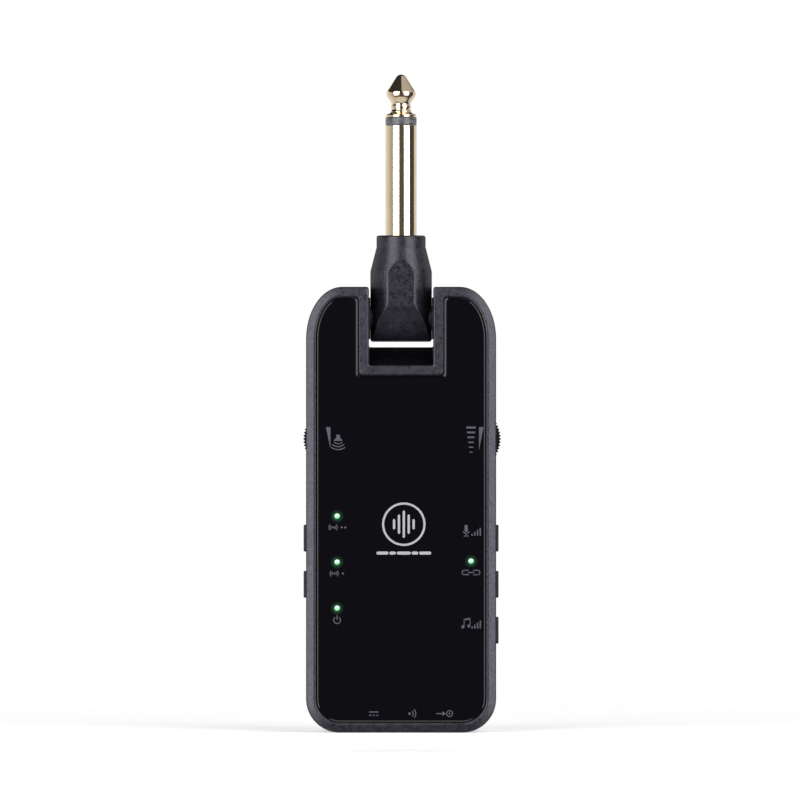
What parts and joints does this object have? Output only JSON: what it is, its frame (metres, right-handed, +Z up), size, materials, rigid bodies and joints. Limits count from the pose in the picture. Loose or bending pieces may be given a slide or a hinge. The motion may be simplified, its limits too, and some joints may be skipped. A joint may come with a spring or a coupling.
{
  "type": "wireless guitar transmitter",
  "caption": "Plug-on wireless audio transmitter: matte case with a glossy panel, side thumbwheels and buttons, and a gold jack plug on a folding hinge.",
  "frame": {"origin": "middle of the case's lower end face, under the plug's axis and halfway through the case", "axes": "+Z up along the plug, towards its tip; the panel faces -Y; +X is the user's right when the panel is seen"},
  "size_m": [0.0398, 0.016, 0.1325],
  "materials": {
    "case": "charcoal moulded plastic with a fine matte spark texture",
    "panel": "glossy near-black acrylic with a polished bevel round its edge",
    "window": "dark infrared-passing plastic",
    "lens": "clear light pipe, lit pale green",
    "led": "small LED chip package",
    "board": "green solder mask on glass-fibre board",
    "shield": "tinned sheet steel",
    "chip": "black moulded chip and connector housings",
    "brass": "plain brass",
    "cell": "aluminium pouch film",
    "foam": "white adhesive foam",
    "screw": "dark zinc-plated steel",
    "washer": "black acetal",
    "gold": "polished pale gold plating on brass",
    "insulator": "black insulating plastic, lightly turned",
    "control": "black moulded plastic, semi-matte",
    "wire_red": "red insulation",
    "wire_black": "black insulation"
  },
  "bodies": {
    "handset": {"antenna": "brass", "battery_cell": "cell", "battery_pad": "foam", "channel_a_led": "led", "channel_a_light_pipe": "lens", "channel_b_led": "led", "channel_b_light_pipe": "lens", "channel_down_switch": "chip", "channel_up_switch": "chip", "charge_chip": "chip", "charge_port": "shield", "echo_pot": "shield", "face_panel": "panel", "front_shell": "case", "ground_wire_lower": "wire_black", "hinge_washer_left": "washer", "hinge_washer_right": "washer", "ir_receiver": "chip", "ir_window": "window", "line_in_jack": "chip", "link_led": "led", "link_light_pipe": "lens", "main_board": "board", "mode_switch": "chip", "music_switch": "chip", "pair_switch": "chip", "power_led": "led", "power_light_pipe": "lens", "processor_chip": "chip", "radio_module": "shield", "rear_shell": "case", "shell_screw_lower_left": "screw", "shell_screw_lower_right": "screw", "shell_screw_upper_left": "screw", "shell_screw_upper_right": "screw", "tip_wire_lower": "wire_red", "volume_pot": "shield"},
    "plug_arm": {"hinge_housing_front": "case", "hinge_housing_rear": "case", "plug_collar": "case", "pivot_pin_left": "shield", "pivot_pin_right": "shield", "plug_sleeve": "gold", "plug_insulator": "insulator", "plug_tip": "gold", "plug_nut": "brass", "tip_lug": "brass", "ground_lug": "brass", "tip_wire_upper": "wire_red", "ground_wire_upper": "wire_black"},
    "volume_wheel": {"volume_wheel": "control", "volume_wheel_screw": "screw"},
    "echo_wheel": {"echo_wheel": "control", "echo_wheel_screw": "screw"},
    "channel_up_button": {"channel_up_button": "control"},
    "channel_down_button": {"channel_down_button": "control"},
    "mode_button": {"mode_button": "control"},
    "pair_button": {"pair_button": "control"},
    "music_button": {"music_button": "control"}
  },
  "joints": [
    {"name": "plug_fold", "type": "hinge", "parent": "handset", "child": "plug_arm", "pos_m": [0, 0, 0.0833], "axis": [1, 0, 0], "range_deg": [-105, 105]},
    {"name": "volume_wheel_turn", "type": "hinge", "parent": "handset", "child": "volume_wheel", "pos_m": [-0.0131, 0, 0.059], "axis": [0, 1, 0], "range_deg": [-135, 135]},
    {"name": "echo_wheel_turn", "type": "hinge", "parent": "handset", "child": "echo_wheel", "pos_m": [0.0135, 0, 0.059], "axis": [0, 1, 0], "range_deg": [-135, 135]},
    {"name": "channel_up_press", "type": "slide", "parent": "handset", "child": "channel_up_button", "axis": [1, 0, 0], "range_m": [0, 0.0003], "stiffness_N_per_m": 2000},
    {"name": "channel_down_press", "type": "slide", "parent": "handset", "child": "channel_down_button", "axis": [1, 0, 0], "range_m": [0, 0.0003], "stiffness_N_per_m": 2000},
    {"name": "mode_press", "type": "slide", "parent": "handset", "child": "mode_button", "axis": [-1, 0, 0], "range_m": [0, 0.0003], "stiffness_N_per_m": 2000},
    {"name": "pair_press", "type": "slide", "parent": "handset", "child": "pair_button", "axis": [-1, 0, 0], "range_m": [0, 0.0003], "stiffness_N_per_m": 2000},
    {"name": "music_press", "type": "slide", "parent": "handset", "child": "music_button", "axis": [-1, 0, 0], "range_m": [0, 0.0003], "stiffness_N_per_m": 2000}
  ]
}
